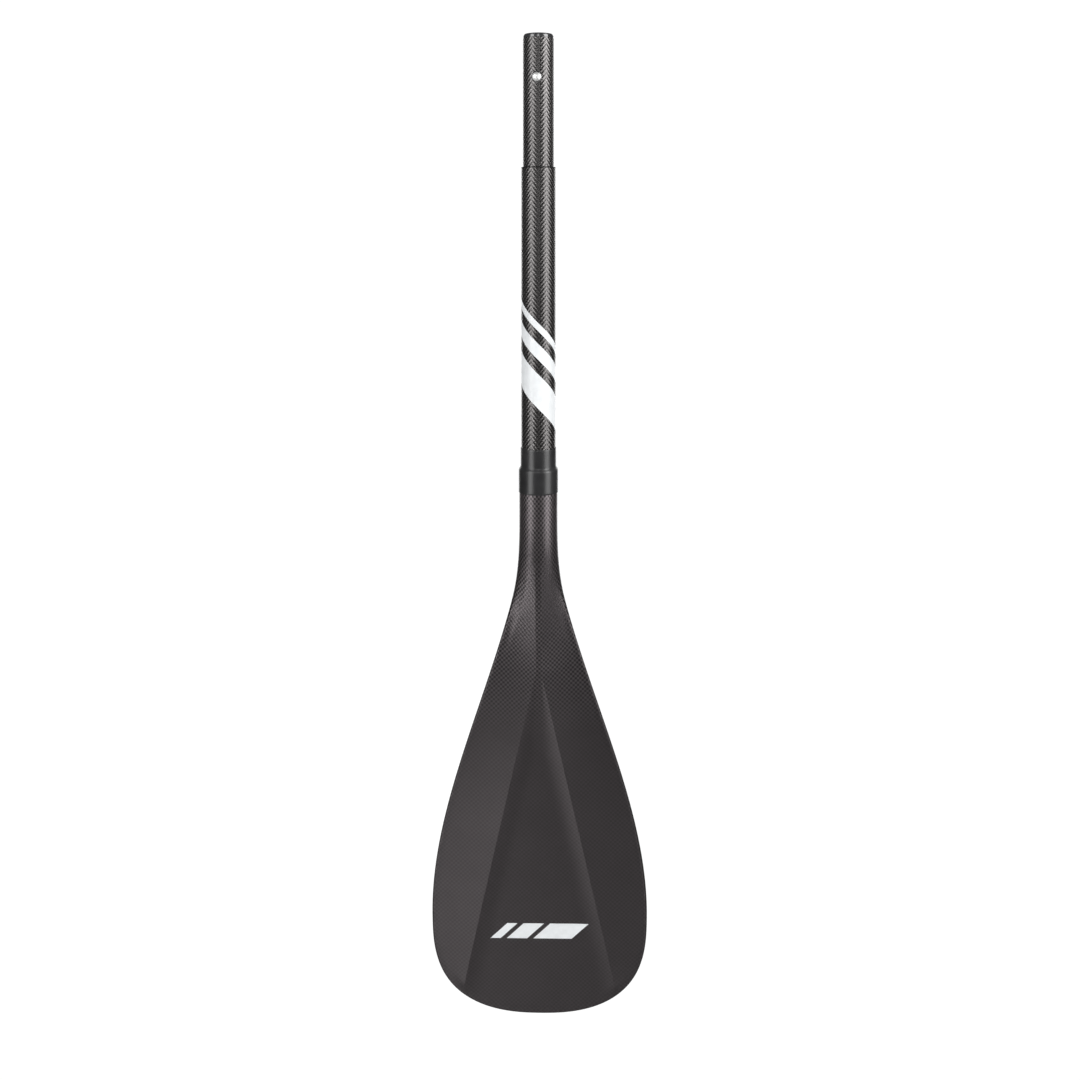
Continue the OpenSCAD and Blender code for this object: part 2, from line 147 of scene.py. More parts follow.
BAR_WIDTHS = np.array([9, 18, 34]) * MM
BAR_GAP = 5.5 * MM
BAR_H = 15 * MM
BAR_S = 379 * MM
BAR_LIFT = 0.05 * MM
BAR_THICK = 0.08 * MM

# ---- shaft, spigot and collar details ----

SHOULDER_ROUND = 0.3 * MM
DARK_BAND_H = 0.9 * MM
SPIGOT_WALL = 1.3 * MM
BOND_RELIEF = 0.25 * MM
UNDERCUT = 0.2 * MM
HOLE_R = 4.75 * MM
HOLE_TAPER = 0.27
CAP_SEAT_GAP = 0.02 * MM
CAP_ROUND_IN = 1.0 * MM
CAP_ROUND_H = 2.2 * MM
CAP_SKIRT_WALL = 1.4 * MM
# the cap's skirt stands this far in from the spigot's outside
CAP_SKIRT_IN = 1.32 * MM
# small break on the cap's lower rim, and how far its crown dips towards the middle
CAP_BREAK = 0.15 * MM
CAP_DIP = 0.08 * MM
CAP_HALF_DIP = 0.05 * MM
COLLAR_WALL = 0.45 * MM
COLLAR_PLAY = 0.05 * MM
COLLAR_STEP_ABOVE = 4.5 * MM
COLLAR_STEP_BELOW = 0.4 * MM
# the sleeve's cut ends are chamfered over this height and this far in
COLLAR_END_H = 0.3 * MM
COLLAR_END_IN = 0.25 * MM
STRIPE_REACH = math.radians(130)
STRIPE_THICK = 0.1 * MM
STRIPE_LIFT = 0.02 * MM
STRIPE_STEP = 2 * MM

# ---- lock button and spring details ----

BUTTON_PROUD = 4.0 * MM
BUTTON_DOME = 2.0 * MM
BUTTON_UNDER = 0.05 * MM
BUTTON_STRAIGHT = 1 * MM
STEM_IN = 0.3 * MM
RIVET_R = 2 * MM
RIVET_HEAD_R = 3.2 * MM
RIVET_HEAD_H = 0.72 * MM
RIVET_BREAK_H = 0.32 * MM
RIVET_BREAK_IN = 0.3 * MM
PART_GAP = 0.02 * MM
SPRING_W = 9 * MM
SPRING_T = 0.8 * MM
SPRING_PLAY = 0.06 * MM
SPRING_LEAN = math.radians(13)
SPRING_BEND_R = 2.6 * MM
SPRING_FLAT = 18 * MM
SPRING_FOOT_R = 3 * MM
SPRING_CORNER_R = 1.2 * MM

# ---- weave sizes: one cell is one tow wide ----

TOW = 2.0 * MM
SHAFT_TOWS_ROUND = 54
NECK_TOW = 1.68 * MM
# the cloth is as open as on the shaft from this far below the bend
CLOTH_OPEN_S = 170 * MM
SPIGOT_TOWS_ROUND = 50


def ease(t):
    t = np.clip(t, 0, 1)
    return t * t * (3 - 2 * t)


def cubic(t, a, slope_a, b, slope_b, span):
    """Cubic through a and b with the two slopes, over a span."""
    return ((2 * t**3 - 3 * t**2 + 1) * a + (t**3 - 2 * t**2 + t) * slope_a * span
            + (3 * t**2 - 2 * t**3) * b + (t**3 - t**2) * slope_b * span)


def half_width(s):
    """Half width of the outline at distance s below the start of the bend."""
    s = np.asarray(s, float)
    flare = cubic(s / FLARE_S, NECK_R, 0, FLARE_W, FLARE_GAIN, FLARE_S)
    body = cubic((s - FLARE_S) / (WIDEST_S - FLARE_S), FLARE_W, FLARE_GAIN,
                 HALF_WIDTH, 0, WIDEST_S - FLARE_S)
    along = np.clip((s - WIDEST_S) / (BLADE_LEN - WIDEST_S), 0, 1)
    tip = HALF_WIDTH * (1 - along**TIP_LONG) ** (1 / TIP_WIDE)
    return np.select([s <= 0, s < FLARE_S, s < WIDEST_S], [NECK_R, flare, body], tip)


def outline_end(u):
    """Where the outline ends for a line at distance u from the middle."""
    across = np.minimum(1, np.abs(u) / HALF_WIDTH)
    return WIDEST_S + (BLADE_LEN - WIDEST_S) * (1 - across**TIP_WIDE) ** (1 / TIP_LONG)


def roundness(s):
    """1 in the round neck, 0 in the blade."""
    return 1 - ease((np.asarray(s) - ROUND_END) / (BLADE_START - ROUND_END))


def crest_height(s, at_split):
    neck = cubic(s / SPLIT_S, NECK_R, 0, at_split, SPLIT_SLOPE, SPLIT_S)
    span = BLADE_LEN - SPLIT_S
    blade = cubic((s - SPLIT_S) / span, at_split, SPLIT_SLOPE, TIP_H, TIP_SLOPE, span)
    return np.select([s <= 0, s < SPLIT_S], [NECK_R, neck], blade)


def ridge_at(s):
    return CREST_W + np.maximum(0, s - SPLIT_S) * RIDGE_GAIN


def scoop(u, c):
    """Dip of the scoop between ridges that stand at distance c from the middle line."""
    w = np.minimum(LIP_W, c - CREST_W)
    t = np.clip((c - np.abs(u)) / np.maximum(0.01 * MM, w), 0, 1)
    return LIP_RISE * w / 2 * (1 - (1 - t) ** 2)


def front_blade(u, s):
    c, w, top = ridge_at(s), half_width(s), crest_height(s, FRONT_H)
    inner = top - scoop(u, c)
    share = np.clip((np.abs(u) - c) / np.maximum(1 * MM, w - c), 0, 1)
    outer = EDGE_H + (top - EDGE_H) * (1 - share) ** FLANK_HOLLOW
    return np.where(np.abs(u) < c, inner, outer)


def back_blade(u, s):
    share = np.clip(np.abs(u) / half_width(s), 0, 1)
    return EDGE_H + (crest_height(s, BACK_H) - EDGE_H) * np.cos(math.pi / 2 * share) ** 2


def edge_gap(u, s):
    """Distance to the outline."""
    across = np.maximum(0, half_width(s) - np.abs(u))
    along = np.maximum(0, outline_end(u) - s)
    return across * along / np.maximum(1e-6, np.hypot(across, along))


def face_height(u, s, front):
    k, w = roundness(s), half_width(s)
    top = crest_height(s, FRONT_H if front else BACK_H)
    blade = front_blade(u, s) if front else back_blade(u, s)
    thin = EDGE_H + (blade - EDGE_H) * ease(edge_gap(u, s) / EDGE_RUN)
    return k * top * np.sqrt(np.maximum(0, 1 - (u / w) ** 2)) + (1 - k) * thin


def rim(u, s):
    """Rounding of the edge."""
    t = np.clip(edge_gap(u, s) / EDGE_H, 0, 1)
    k = roundness(s)
    return k + (1 - k) * np.sqrt(1 - (1 - t) ** 2)


def place(u, s, h):
    """A point on the canted blade: u across, s down the middle line, h off the edge plane to the front."""
    s = np.asarray(s, float)
    angle = CANT * np.clip(s / BEND_LEN, 0, 1)
    past = np.maximum(0, s - BEND_LEN)
    y = np.where(s <= 0, 0, BEND_R * (1 - np.cos(angle)) + past * np.sin(angle))
    z = np.where(s <= 0, -s, -BEND_R * np.sin(angle) - past * np.cos(angle))
    return np.stack(np.broadcast_arrays(
        u, y - h * np.cos(angle), z + BEND_TOP_Z - h * np.sin(angle)), -1)


# ---- mesh helpers ----

def new_object(name, mesh, body, nodes=()):
    """Links a mesh as a piece that rides on a body and stands for the CAD nodes."""
    obj = bpy.data.objects.new(name, mesh)
    bpy.context.scene.collection.objects.link(obj)
    mesh.polygons.foreach_set("use_smooth", [True] * len(mesh.polygons))
    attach(obj, body)
    if nodes:
        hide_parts(*nodes)
    return obj


def grid_mesh(name, sheets, uvs):
    """A closed mesh from two sheets of rows x columns of points, stitched along all four borders."""
    upper, lower = sheets
    rows, cols = upper.shape[:2]
    count = rows * cols
    points = np.concatenate([upper.reshape(-1, 3), lower.reshape(-1, 3)])
    faces, face_uvs = [], []

    def add(corners, coords):
        faces.append(corners)
        face_uvs.extend(coords)

    uv_up, uv_low = uvs
    for i in range(rows - 1):
        for j in range(cols - 1):
            a = i * cols + j
            add((a, a + cols, a + cols + 1, a + 1),
                (uv_up[i, j], uv_up[i + 1, j], uv_up[i + 1, j + 1], uv_up[i, j + 1]))
            b = count + a
            add((b, b + 1, b + cols + 1, b + cols),
                (uv_low[i, j], uv_low[i, j + 1], uv_low[i + 1, j + 1], uv_low[i + 1, j]))
    for j in range(cols - 1):
        a, b = j, j + count
        add((a, a + 1, b + 1, b), (uv_up[0, j], uv_up[0, j + 1], uv_low[0, j + 1], uv_low[0, j]))
        a = (rows - 1) * cols + j
        b = a + count
        add((a, b, b + 1, a + 1), (uv_up[-1, j], uv_low[-1, j], uv_low[-1, j + 1], uv_up[-1, j + 1]))
    for i in range(rows - 1):
        a = i * cols
        b = a + count
        add((a, b, b + cols, a + cols), (uv_up[i, 0], uv_low[i, 0], uv_low[i + 1, 0], uv_up[i + 1, 0]))
        a = i * cols + cols - 1
        b = a + count
        add((a, a + cols, b + cols, b), (uv_up[i, -1], uv_up[i + 1, -1], uv_low[i + 1, -1], uv_low[i, -1]))
    mesh = bpy.data.meshes.new(name)
    mesh.from_pydata(points.tolist(), [], faces)
    layer = mesh.uv_layers.new(name="cells")
    layer.data.foreach_set("uv", np.array(face_uvs, np.float32).ravel())
    mesh.validate()
    return mesh


def lathe_mesh(name, profile, steps, cells_round, cell_along):
    """A closed mesh turned round Z from a closed profile of (radius, z); a radius of 0 closes at a pole.

    UVs count weave cells round and along the surface.
    """
    profile = np.asarray(profile, float)
    n = len(profile)
    angles = np.arange(steps) / steps * 2 * math.pi
    points, index = [], {}
    for i, (r, z) in enumerate(profile):
        if r < 1e-7:
            index[i] = [len(points)] * steps
            points.append((0, 0, z))
        else:
            index[i] = list(range(len(points), len(points) + steps))
            points.extend(zip(r * np.sin(angles), -r * np.cos(angles), np.full(steps, z)))
    path = np.concatenate([[0], np.cumsum(np.hypot(*np.diff(profile, axis=0).T))]) / cell_along
    faces, uvs = [], []
    for i in range(n):
        k = (i + 1) % n
        if profile[i][0] < 1e-7 and profile[k][0] < 1e-7:
            continue
        v0, v1 = path[i], path[k] if k else path[i]
        for j in range(steps):
            m = (j + 1) % steps
            u0, u1 = j / steps * cells_round, (j + 1) / steps * cells_round
            ring = [(index[i][j], (u0, v0)), (index[i][m], (u1, v0)),
                    (index[k][m], (u1, v1)), (index[k][j], (u0, v1))]
            face, seen = [], set()
            for vertex, uv in ring:
                if vertex not in seen:
                    seen.add(vertex)
                    face.append((vertex, uv))
            faces.append([f[0] for f in face])
            uvs.extend(f[1] for f in face)
    mesh = bpy.data.meshes.new(name)
    mesh.from_pydata([tuple(map(float, p)) for p in points], [], faces)
    layer = mesh.uv_layers.new(name="cells")
    layer.data.foreach_set("uv", np.array(uvs, np.float32).ravel())
    mesh.validate()
    bm = bmesh.new()
    bm.from_mesh(mesh)
    bmesh.ops.recalc_face_normals(bm, faces=bm.faces)
    bm.to_mesh(mesh)
    bm.free()
    return mesh


def mark_sharp(mesh, degrees):
    """Splits the shading at edges sharper than the angle."""
    bm = bmesh.new()
    bm.from_mesh(mesh)
    limit = math.radians(degrees)
    for edge in bm.edges:
        edge.smooth = len(edge.link_faces) == 2 and edge.calc_face_angle(0) < limit
    bm.to_mesh(mesh)
    bm.free()


# ---- materials ----

class Nodes:
    """Short calls for building a node tree."""

    def __init__(self, tree):
        self.tree = tree

    def add(self, kind, **settings):
        node = self.tree.nodes.new(kind)
        for key, value in settings.items():
            setattr(node, key, value)
        return node

    def link(self, source, target):
        if isinstance(source, (int, float)):
            target.default_value = source
        elif isinstance(source, tuple):
            target.default_value = source
        else:
            self.tree.links.new(source, target)

    def math(self, operation, a, b=0.0, c=0.0, clamp=False):
        node = self.add("ShaderNodeMath", operation=operation, use_clamp=clamp)
        for value, socket in zip((a, b, c), node.inputs):
            self.link(value, socket)
        return node.outputs[0]

    def noise(self, vector, scale, detail=2.0, roughness=0.5):
        node = self.add("ShaderNodeTexNoise")
        self.link(vector, node.inputs["Vector"])
        self.link(scale, node.inputs["Scale"])
        self.link(detail, node.inputs["Detail"])
        self.link(roughness, node.inputs["Roughness"])
        return node.outputs["Fac"]

    def remap(self, value, low, high, to_low, to_high):
        node = self.add("ShaderNodeMapRange")
        for v, key in ((value, "Value"), (low, "From Min"), (high, "From Max"),
                       (to_low, "To Min"), (to_high, "To Max")):
            self.link(v, node.inputs[key])
        return node.outputs["Result"]

    def mix(self, factor, a, b):
        node = self.add("ShaderNodeMix", data_type="RGBA")
        self.link(factor, node.inputs["Factor"])
        self.link(a, node.inputs["A"])
        self.link(b, node.inputs["B"])
        return node.outputs["Result"]

    def combine(self, x, y, z=0.0):
        node = self.add("ShaderNodeCombineXYZ")
        for value, socket in zip((x, y, z), node.inputs):
            self.link(value, socket)
        return node.outputs[0]

    def bump(self, height, distance, strength=1.0):
        node = self.add("ShaderNodeBump")
        self.link(height, node.inputs["Height"])
        self.link(distance, node.inputs["Distance"])
        self.link(strength, node.inputs["Strength"])
        return node.outputs["Normal"]


def start_material(name):
    material = bpy.data.materials.new(name)
    material.use_nodes = True
    nodes = Nodes(material.node_tree)
    shader = material.node_tree.nodes["Principled BSDF"]
    return material, nodes, shader


def carbon(name, dark, light, relief, coat, coat_rough, rough, contrast, fade=None):
    """Plain-weave carbon under clear resin. The UV map counts tows across and along.

    fade = (low z, high z, share): the weave drops to that share of its contrast at the low z, and its
    colour darkens towards the low z as painted shade.
    """
    material, n, shader = start_material(name)
    uv = n.add("ShaderNodeUVMap", uv_map="cells").outputs[0]
    where = n.add("ShaderNodeTexCoord").outputs["Object"]
    # the tows wander a little
    wander = n.add("ShaderNodeTexNoise", noise_dimensions="3D")
    n.link(where, wander.inputs["Vector"])
    n.link(60.0, wander.inputs["Scale"])
    n.link(1.0, wander.inputs["Detail"])
    shift = n.add("ShaderNodeVectorMath", operation="MULTIPLY_ADD")
    n.link(wander.outputs["Color"], shift.inputs[0])
    shift.inputs[1].default_value = (0.22, 0.22, 0.0)
    n.link(uv, shift.inputs[2])
    split = n.add("ShaderNodeSeparateXYZ")
    n.link(shift.outputs[0], split.inputs[0])
    u, v = split.outputs[0], split.outputs[1]
    # +1 where a lengthwise tow is on top, -1 where a crosswise one is
    wave_u = n.math("SINE", n.math("MULTIPLY", u, math.pi))
    wave_v = n.math("SINE", n.math("MULTIPLY", v, math.pi))
    over = n.math("MULTIPLY", wave_u, wave_v)
    top = n.math("MULTIPLY_ADD", n.math("MULTIPLY", over, 4.0), 0.5, 0.5, clamp=True)
    # each tow leans as it dives under the next, which draws chevrons beside a highlight
    lean = n.math("COSINE", n.math("MULTIPLY", v, math.pi))
    crown = n.math("MULTIPLY", wave_u, n.math("MULTIPLY", lean, -1.0))
    fine_u = n.noise(n.combine(n.math("MULTIPLY", u, 14.0), n.math("MULTIPLY", v, 0.8)), 1.0, 2.0)
    fine_v = n.noise(n.combine(n.math("MULTIPLY", u, 0.8), n.math("MULTIPLY", v, 14.0)), 1.0, 2.0)
    fibres = n.add("ShaderNodeMix", data_type="FLOAT")
    n.link(top, fibres.inputs["Factor"])
    n.link(fine_v, fibres.inputs["A"])
    n.link(fine_u, fibres.inputs["B"])
    fibres = fibres.outputs["Result"]
    strength = 1.0
    if fade:
        height_split = n.add("ShaderNodeSeparateXYZ")
        n.link(where, height_split.inputs[0])
        strength = n.remap(height_split.outputs[2], fade[0], fade[1], fade[2], 1.0)
    cloud = n.noise(where, 22.0, 3.0, 0.55)
    # painted sheen: the lengthwise tows get a lighter colour than the crosswise ones, standing in for how
    # the two tow directions catch the light; the weave's layout and fibre grain are the cloth's own
    swing = n.math("MULTIPLY", n.math("SUBTRACT", top, 0.5), n.math("MULTIPLY", strength, contrast))
    grain = n.math("MULTIPLY_ADD", n.math("SUBTRACT", fibres, 0.5), n.math("MULTIPLY", strength, 0.7), 1.0)
    tone = n.mix(n.math("MULTIPLY", n.math("ADD", swing, 0.5), grain), dark, light)
    shade = n.mix(n.remap(cloud, 0.3, 0.7, 0.0, 0.08), tone, (0.012, 0.011, 0.011, 1))
    # painted shade: the base colour darkens by up to a quarter towards the low z
    if fade:
        shade = n.mix(n.remap(strength, 0.0, 1.0, 0.25, 0.0), shade, (0, 0, 0, 1))
    n.link(shade, shader.inputs["Base Color"])
    n.link(n.math("MULTIPLY_ADD", fibres, 0.12, rough), shader.inputs["Roughness"])
    height = n.math("MULTIPLY_ADD", fibres, 0.012, crown)
    n.link(n.bump(height, relief, strength), shader.inputs["Normal"])
    tangent = n.add("ShaderNodeTangent", direction_type="UV_MAP", uv_map="cells")
    n.link(tangent.outputs[0], shader.inputs["Tangent"])
    n.link(n.math("MULTIPLY", strength, 0.75), shader.inputs["Anisotropic"])
    # the highlight stretches across the fibres, so it turns with the tow on top
    n.link(n.math("MULTIPLY_ADD", top, -0.25, 0.25), shader.inputs["Anisotropic Rotation"])
    # fibres under resin reflect like a dark metal, with next to no scattered light
    shader.inputs["Metallic"].default_value = 0.9
    shader.inputs["Coat Weight"].default_value = coat
    n.link(n.math("MULTIPLY_ADD", cloud, 0.12, coat_rough), shader.inputs["Coat Roughness"])
    orange_peel = n.noise(where, 420.0, 2.0)
    n.link(n.bump(orange_peel, 0.01 * MM, 1.0), shader.inputs["Coat Normal"])
    return material


def plastic(name, colour, rough, grain, variation=0.25, coat=0.0, specular=0.5, coat_ior=1.5):
    """Moulded or shrunk plastic with a fine grain and slight marks."""
    material, n, shader = start_material(name)
    where = n.add("ShaderNodeTexCoord").outputs["Object"]
    cloud = n.noise(where, 45.0, 4.0, 0.6)
    fine = n.noise(where, 900.0, 2.0)
    light = tuple(min(1, c * (1 + variation) + 0.01 * variation) for c in colour[:3]) + (1,)
    dark = tuple(c * (1 - variation) for c in colour[:3]) + (1,)
    n.link(n.mix(n.remap(cloud, 0.3, 0.7, 0, 1), dark, light), shader.inputs["Base Color"])
    n.link(n.math("MULTIPLY_ADD", cloud, 0.16, rough - 0.08), shader.inputs["Roughness"])
    height = n.math("MULTIPLY_ADD", cloud, 1.5, fine)
    n.link(n.bump(height, grain, 1.0), shader.inputs["Normal"])
    shader.inputs["Coat Weight"].default_value = coat
    shader.inputs["Coat Roughness"].default_value = 0.06
    shader.inputs["Coat IOR"].default_value = coat_ior
    shader.inputs["Specular IOR Level"].default_value = specular
    return material


def decal(name, colour, rough):
    """White printed film under the clear coat, with faint ink mottling."""
    material, n, shader = start_material(name)
    where = n.add("ShaderNodeTexCoord").outputs["Object"]
    mottle = n.noise(where, 160.0, 4.0, 0.6)
    scuff = n.noise(where, 35.0, 5.0, 0.65)
    shade = tuple(c * 0.93 for c in colour[:3]) + (1,)
    n.link(n.mix(n.remap(mottle, 0.35, 0.65, 0, 1), shade, colour), shader.inputs["Base Color"])
    n.link(n.remap(scuff, 0.3, 0.7, rough - 0.06, rough + 0.1), shader.inputs["Roughness"])
    n.link(n.bump(mottle, 0.004 * MM, 1.0), shader.inputs["Normal"])
    shader.inputs["Coat Weight"].default_value = 0.25
    shader.inputs["Coat Roughness"].default_value = 0.22
    return material


def metal(name, colour, rough, along=(1.0, 1.0, 1.0), depth=0.003):
    """Steel with fine drawn or turned scratches."""
    material, n, shader = start_material(name)
    where = n.add("ShaderNodeTexCoord").outputs["Object"]
    stretch = n.add("ShaderNodeVectorMath", operation="MULTIPLY")
    n.link(where, stretch.inputs[0])
    stretch.inputs[1].default_value = along
    lines = n.noise(stretch.outputs[0], 2500.0, 3.0, 0.6)
    smear = n.noise(where, 260.0, 3.0)
    shade = tuple(c * 0.8 for c in colour[:3]) + (1,)
    n.link(n.mix(n.remap(smear, 0.35, 0.7, 0, 1), colour, shade), shader.inputs["Base Color"])
    shader.inputs["Metallic"].default_value = 1.0
    n.link(n.math("MULTIPLY_ADD", lines, 0.12, rough - 0.06), shader.inputs["Roughness"])
    n.link(n.bump(lines, depth * MM, 1.0), shader.inputs["Normal"])
    return material


def foam(name, colour):
    """Closed-cell foam: small round cells with paler walls."""
    material, n, shader = start_material(name)
    where = n.add("ShaderNodeTexCoord").outputs["Object"]
    cells = n.add("ShaderNodeTexVoronoi")
    n.link(where, cells.inputs["Vector"])
    n.link(900.0, cells.inputs["Scale"])
    tint = n.noise(where, 30.0, 3.0)
    dark = tuple(c * 0.82 for c in colour[:3]) + (1,)
    n.link(n.mix(n.math("MULTIPLY", cells.outputs["Distance"], tint), dark, colour),
           shader.inputs["Base Color"])
    n.link(n.bump(cells.outputs["Distance"], 0.2 * MM, 0.8), shader.inputs["Normal"])
    shader.inputs["Roughness"].default_value = 0.85
    return material


def resin(name, colour):
    """Cured adhesive: amber, slightly see-through, with small bubbles."""
    material, n, shader = start_material(name)
    where = n.add("ShaderNodeTexCoord").outputs["Object"]
    bubbles = n.add("ShaderNodeTexVoronoi")
    n.link(where, bubbles.inputs["Vector"])
    n.link(700.0, bubbles.inputs["Scale"])
    streak = n.noise(where, 90.0, 4.0)
    dark = tuple(c * 0.6 for c in colour[:3]) + (1,)
    n.link(n.mix(streak, dark, colour), shader.inputs["Base Color"])
    n.link(n.bump(bubbles.outputs["Distance"], 0.05 * MM, 0.5), shader.inputs["Normal"])
    n.link(n.math("MULTIPLY_ADD", streak, 0.2, 0.3), shader.inputs["Roughness"])
    return material


# the weave reads clearly near the neck and fades from 50 mm above the ridge's fork to 60 mm below it; over
# the same span painted shade darkens the blade's colour
FORK_Z = BEND_TOP_Z - SPLIT_S * math.cos(CANT)
BLADE_FADE = (FORK_Z - 60 * MM, FORK_Z + 50 * MM, 0.10)
BLADE_CARBON = carbon("blade_carbon", (0.054, 0.048, 0.050, 1), (0.18, 0.161, 0.167, 1),
                      0.035 * MM, 0.15, 0.30, 0.31, 1.7, BLADE_FADE)
TUBE_CARBON = carbon("tube_carbon", (0.05, 0.048, 0.048, 1), (0.17, 0.162, 0.16, 1),
                     0.10 * MM, 0.15, 0.22, 0.22, 1.0)
# near-black material: a dark band at the shaft's top, and painted shade on the walls of the button's hole
BLACK_BAND_AND_HOLE_SHADE = plastic("black_band_and_hole_shade", (0.006, 0.006, 0.006, 1), 0.7, 0.01 * MM, specular=0.2)
SLEEVE = plastic("shrink_sleeve", (0.02, 0.02, 0.021, 1), 0.34, 0.01 * MM, specular=0.6)
CAP = plastic("cap_plastic", (0.022, 0.022, 0.024, 1), 0.28, 0.003 * MM, coat=1.0, coat_ior=1.6)
WHITE = decal("white_decal", (0.93, 0.955, 0.97, 1), 0.38)
STEEL = metal("button_steel", (0.97, 0.97, 0.96, 1), 0.56)
SPRING = metal("spring_steel", (0.55, 0.55, 0.56, 1), 0.34, along=(1.0, 1.0, 0.05), depth=0.006)
FOAM = foam("foam", (0.78, 0.74, 0.62, 1))
RESIN = resin("adhesive", (0.42, 0.33, 0.16, 1))


# ---- blade ----

def ridge_line(s, w):
    """The grid line that follows the ridge, and the spine above the split."""
    above = CREST_W + (w / 2 - CREST_W) * (1 - ease(s / SPLIT_S))
    return np.minimum(0.9 * w, np.where(s < SPLIT_S, above, ridge_at(s)))


def lateral_shares():
    """Stations from the middle to the edge: 0 to 1 up to the ridge line, 1 to 2 beyond it."""
    inner = 1 - (1 - np.linspace(0, 1, 15)) ** 1.5
    outer = np.sin(np.radians(30) + np.radians(60) * np.linspace(0, 1, 41)) * 2 - 1
    outer = outer * (0.25 + 0.75 * np.linspace(0, 1, 41) ** 0.7)
    half = np.concatenate([inner, 1 + outer[1:]])
    return np.concatenate([-half[:0:-1], half])


def blade_rows():
    neck = np.linspace((BEND_TOP_Z - NECK_TOP_Z), 0, 12)
    flare = np.linspace(0, SPLIT_S, 46)[1:]
    body = np.linspace(SPLIT_S, WIDEST_S, 66)[1:]
    end = (1 - (TIP_FLAT / HALF_WIDTH) ** TIP_WIDE) ** (1 / TIP_LONG)
    tip = WIDEST_S + (BLADE_LEN - WIDEST_S) * end * np.sin(np.linspace(0, math.pi / 2, 46)[1:])
    return np.concatenate([neck, flare, body, tip])


def lateral(shares, s, w):
    g = ridge_line(s, w)
    n = np.abs(shares)
    return np.sign(shares) * np.where(n <= 1, g * n, g + (w - g) * (n - 1))


def tow_width(s):
    """Tow width across the blade: the cloth opens up below the neck."""
    return NECK_TOW + (TOW - NECK_TOW) * ease(s / CLOTH_OPEN_S)


def blade_skin(name, side, node):
    """One moulded skin, closed: its outer face, its inner face and the seam along the edge."""
    front = side > 0
    s = blade_rows()[:, None]
    shares = lateral_shares()[None, :]
    u = lateral(shares, s, half_width(s))
    edge = np.zeros(u.shape, bool)
    edge[:, [0, -1]] = True
    edge[-1, :] = True
    h = np.maximum(SEAM * 2, rim(u, s) * face_height(u, s, front))
    outer = place(u, s, side * np.where(edge, SEAM, h))
    rail = SKIN_WALL + (EDGE_RAIL - SKIN_WALL) * ease(s / SPLIT_S)
    s_in = s - np.maximum(0, s) / BLADE_LEN * EDGE_RAIL
    w_in = np.maximum(half_width(s_in) - rail, 1 * MM)
    u_in = lateral(shares, s_in, w_in)
    bore = (NECK_R - SKIN_WALL) * np.sqrt(np.maximum(0, 1 - (u_in / w_in) ** 2))
    h_in = np.where(s <= BORE_END, bore, face_height(u_in, s_in, front) - SKIN_WALL)
    inner = place(u_in, s_in, side * np.where(edge, SEAM, np.maximum(SEAM * 2, h_in)))
    # weave cells: arc length across the face, distance down it
    step = np.linalg.norm(np.diff(outer, axis=1), axis=2)
    arc = np.concatenate([np.zeros((len(s), 1)), np.cumsum(step, axis=1)], axis=1)
    middle = arc.shape[1] // 2
    across = (arc - arc[:, middle:middle + 1]) / tow_width(s)
    down = np.broadcast_to(-s / TOW, across.shape)
    uv = np.stack([across * side, down], -1)
    if not front:
        outer, inner, uv = outer[:, ::-1], inner[:, ::-1], uv[:, ::-1]
    mesh = grid_mesh(name, (outer, inner), (uv, uv))
    mark_sharp(mesh, 50)
    mesh.materials.append(BLADE_CARBON)
    return new_object(name, mesh, PADDLE, [node])


def blade_bars():
    """Three slanted bars printed on the scoop."""
    total = BAR_WIDTHS.sum() + 2 * BAR_GAP
    starts = [-total / 2, -total / 2 + BAR_WIDTHS[0] + BAR_GAP, total / 2 - BAR_WIDTHS[2]]
    for k, (start, width) in enumerate(zip(starts, BAR_WIDTHS)):
        r = np.linspace(-1, 1, 13)[:, None]
        u = start + width * np.linspace(0, 1, 25)[None, :] - BAR_H / 2 * r
        s = BAR_S + r * BAR_H / 2 + 0 * u
        h = face_height(u, s, True)
        top = place(u, s, h + BAR_LIFT + BAR_THICK)
        bottom = place(u, s, h + BAR_LIFT)
        uv = np.stack([u / TOW, -s / TOW], -1)
        mesh = grid_mesh("blade_bar_%d" % (k + 1), (top, bottom), (uv, uv))
        mark_sharp(mesh, 40)
        mesh.materials.append(WHITE)
        new_object("blade_bar_%d" % (k + 1), mesh, PADDLE,
                   ["blade_graphic"] if k == 0 else [])


# ---- shaft ----

def arc_points(cx, cz, r, start, end, count):
    a = np.radians(np.linspace(start, end, count))
    return np.stack([cx + r * np.cos(a), cz + r * np.sin(a)], -1)


def main_shaft():
    """The main tube. Its end, just below the shoulder, is drawn near black, a dark line round the tube."""
    low_r = node_box("shaft_water_plug")[1][0]
    lip = SHOULDER_ROUND
    dark_band_z = SHOULDER_Z - DARK_BAND_H
    profile = np.concatenate([
        np.stack([np.full(40, SHAFT_R), np.linspace(SHAFT_END_Z, dark_band_z, 40)], -1),
        arc_points(SHAFT_R - lip, SHOULDER_Z - lip, lip, 10, 90, 5),
        [[low_r, SHOULDER_Z]],
        np.stack([np.full(12, low_r), np.linspace(SHOULDER_Z - 1 * MM, SHAFT_END_Z, 12)], -1)])
    mesh = lathe_mesh("main_shaft", profile, 192, SHAFT_TOWS_ROUND, TOW)
    mark_sharp(mesh, 40)
    mesh.materials.append(TUBE_CARBON)
    mesh.materials.append(BLACK_BAND_AND_HOLE_SHADE)
    for face in mesh.polygons:
        if face.center.z > dark_band_z:
            face.material_index = 1
    return new_object("main_shaft", mesh, PADDLE, ["shaft_tube"])


